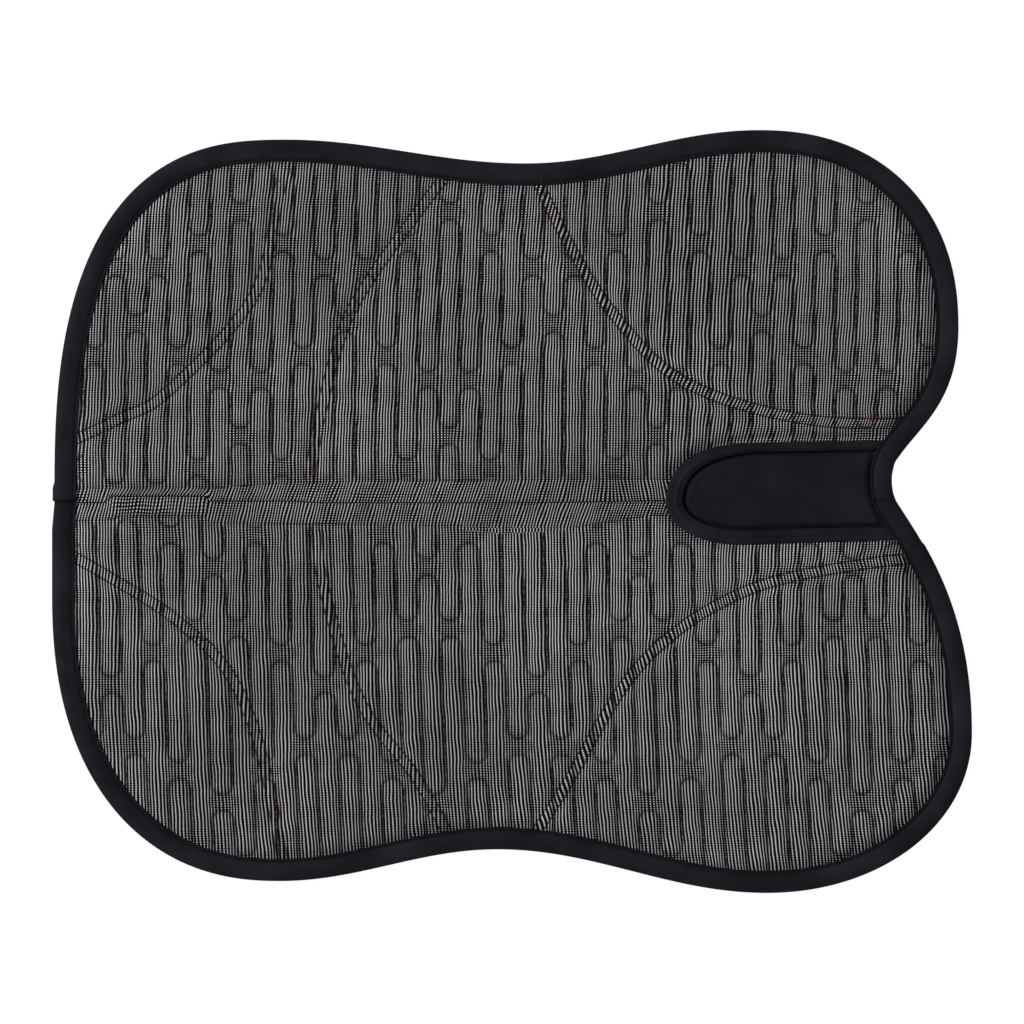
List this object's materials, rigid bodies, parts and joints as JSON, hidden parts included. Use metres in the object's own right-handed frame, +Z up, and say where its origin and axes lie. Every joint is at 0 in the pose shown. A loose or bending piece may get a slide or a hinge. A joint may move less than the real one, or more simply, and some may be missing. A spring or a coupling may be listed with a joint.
{
  "type": "therapy half pad",
  "caption": "Padded half pad for under a saddle: quilted lining, bound edge, stretch insert over the withers, folds along the spine.",
  "frame": {"origin": "middle of the underside of the pad as it lies flat, on the surface that it rests on", "axes": "+X along the spine towards the withers end, +Y towards the off (right) side, +Z up out of the quilted lining"},
  "size_m": [0.58, 0.481, 0.0112],
  "materials": {
    "cover": "black close-woven outer cloth, matt",
    "wadding": "white needled wadding",
    "backing": "thin off-white backing cloth",
    "lining": "black ground with light grey yarn stripes, quilted",
    "binding": "black folded binding, slight sheen",
    "tape": "black ribbed tape",
    "insert": "black stretch cloth, fine twill"
  },
  "bodies": {
    "near_side": {"near_cover": "cover", "near_wadding": "wadding", "near_quilt_backing": "backing", "near_lining": "lining", "near_edge_binding": "binding", "spine_tape": "tape", "withers_insert": "insert", "withers_binding": "binding"},
    "off_side": {"off_cover": "cover", "off_wadding": "wadding", "off_quilt_backing": "backing", "off_lining": "lining", "off_edge_binding": "binding"}
  },
  "joints": [
    {"name": "spine_fold", "type": "hinge", "parent": "near_side", "child": "off_side", "pos_m": [0, 0.0065, 0.0115], "axis": [1, 0, 0], "range_deg": [0, 180], "deforming": ["spine_tape", "withers_insert", "withers_binding"]}
  ]
}
